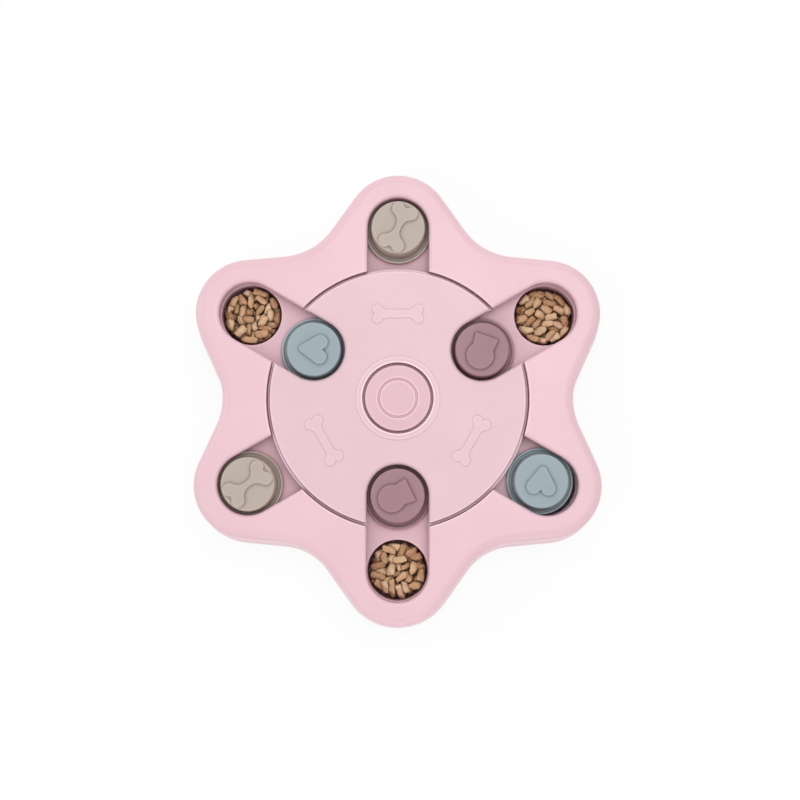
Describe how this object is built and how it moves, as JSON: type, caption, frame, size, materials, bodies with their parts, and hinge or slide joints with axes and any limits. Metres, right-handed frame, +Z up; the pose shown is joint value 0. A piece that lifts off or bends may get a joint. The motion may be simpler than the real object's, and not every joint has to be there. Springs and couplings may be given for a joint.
{
  "type": "dog puzzle feeder",
  "caption": "Six-lobed dog puzzle feeder: food wells in the lobes, sliding round knobs with bone, heart and cat figures, and a slotted turntable.",
  "frame": {"origin": "on the turntable's axis, on the surface that the rubber feet stand on", "axes": "+Z up along the turntable's axis; +Y towards the lobe at the top of the picture; +X to its right"},
  "size_m": [0.252, 0.28, 0.0406],
  "materials": {
    "cover_plastic": "semi-gloss moulded pink plastic",
    "tray_plastic": "semi-gloss moulded pink plastic",
    "turntable_plastic": "semi-gloss moulded pink plastic",
    "hub_plastic": "semi-gloss moulded pink plastic",
    "beige_plastic": "satin moulded beige plastic",
    "blue_plastic": "satin moulded grey-blue plastic",
    "purple_plastic": "satin moulded dusty purple plastic",
    "washer_plastic": "slippery white acetal",
    "screw_steel": "zinc-plated steel",
    "foot_rubber": "soft matt grey rubber",
    "kibble": "dry baked kibble, rough and crumbly"
  },
  "bodies": {
    "base": {"base_tray": "tray_plastic", "top_cover": "cover_plastic", "spindle": "tray_plastic", "thrust_washer": "washer_plastic", "hub_cap": "hub_plastic", "hub_screw": "screw_steel", "cover_screws": "screw_steel", "kibble_fill_1": "kibble", "kibble_fill_3": "kibble", "kibble_fill_5": "kibble", "rubber_foot_1": "foot_rubber", "rubber_foot_2": "foot_rubber", "rubber_foot_3": "foot_rubber", "rubber_foot_4": "foot_rubber", "rubber_foot_5": "foot_rubber", "rubber_foot_6": "foot_rubber"},
    "turntable": {"turntable": "turntable_plastic"},
    "shoe_1": {"knob_shoe_1": "purple_plastic"},
    "cap_1": {"cat_knob_1": "purple_plastic"},
    "shoe_2": {"knob_shoe_2": "beige_plastic"},
    "cap_2": {"bone_knob_2": "beige_plastic"},
    "shoe_3": {"knob_shoe_3": "blue_plastic"},
    "cap_3": {"heart_knob_3": "blue_plastic"},
    "shoe_4": {"knob_shoe_4": "beige_plastic"},
    "cap_4": {"bone_knob_4": "beige_plastic"},
    "shoe_5": {"knob_shoe_5": "purple_plastic"},
    "cap_5": {"cat_knob_5": "purple_plastic"},
    "shoe_6": {"knob_shoe_6": "blue_plastic"},
    "cap_6": {"heart_knob_6": "blue_plastic"}
  },
  "joints": [
    {"name": "turntable_turn", "type": "hinge", "parent": "base", "child": "turntable", "pos_m": [0, 0, 0.031], "axis": [0, 0, 1], "range_deg": [-360, 360]},
    {"name": "knob_1_slide", "type": "slide", "parent": "turntable", "child": "shoe_1", "axis": [0.866, 0.5, 0], "range_m": [0, 0.0449]},
    {"name": "knob_1_spin", "type": "hinge", "parent": "shoe_1", "child": "cap_1", "pos_m": [0.05066, 0.02925, 0.03], "axis": [0, 0, 1], "continuous": true},
    {"name": "knob_2_slide", "type": "slide", "parent": "base", "child": "shoe_2", "axis": [0, 1, 0], "range_m": [-0.0073, 0]},
    {"name": "knob_2_spin", "type": "hinge", "parent": "shoe_2", "child": "cap_2", "pos_m": [0, 0.1034, 0.03], "axis": [0, 0, 1], "continuous": true},
    {"name": "knob_3_slide", "type": "slide", "parent": "turntable", "child": "shoe_3", "axis": [-0.866, 0.5, 0], "range_m": [0, 0.0449]},
    {"name": "knob_3_spin", "type": "hinge", "parent": "shoe_3", "child": "cap_3", "pos_m": [-0.05066, 0.02925, 0.03], "axis": [0, 0, 1], "continuous": true},
    {"name": "knob_4_slide", "type": "slide", "parent": "base", "child": "shoe_4", "axis": [-0.866, -0.5, 0], "range_m": [-0.0073, 0]},
    {"name": "knob_4_spin", "type": "hinge", "parent": "shoe_4", "child": "cap_4", "pos_m": [-0.08955, -0.0517, 0.03], "axis": [0, 0, 1], "continuous": true},
    {"name": "knob_5_slide", "type": "slide", "parent": "turntable", "child": "shoe_5", "axis": [0, -1, 0], "range_m": [0, 0.0449]},
    {"name": "knob_5_spin", "type": "hinge", "parent": "shoe_5", "child": "cap_5", "pos_m": [0, -0.0585, 0.03], "axis": [0, 0, 1], "continuous": true},
    {"name": "knob_6_slide", "type": "slide", "parent": "base", "child": "shoe_6", "axis": [0.866, -0.5, 0], "range_m": [-0.0031, 0.0042]},
    {"name": "knob_6_spin", "type": "hinge", "parent": "shoe_6", "child": "cap_6", "pos_m": [0.08591, -0.0496, 0.03], "axis": [0, 0, 1], "continuous": true}
  ]
}
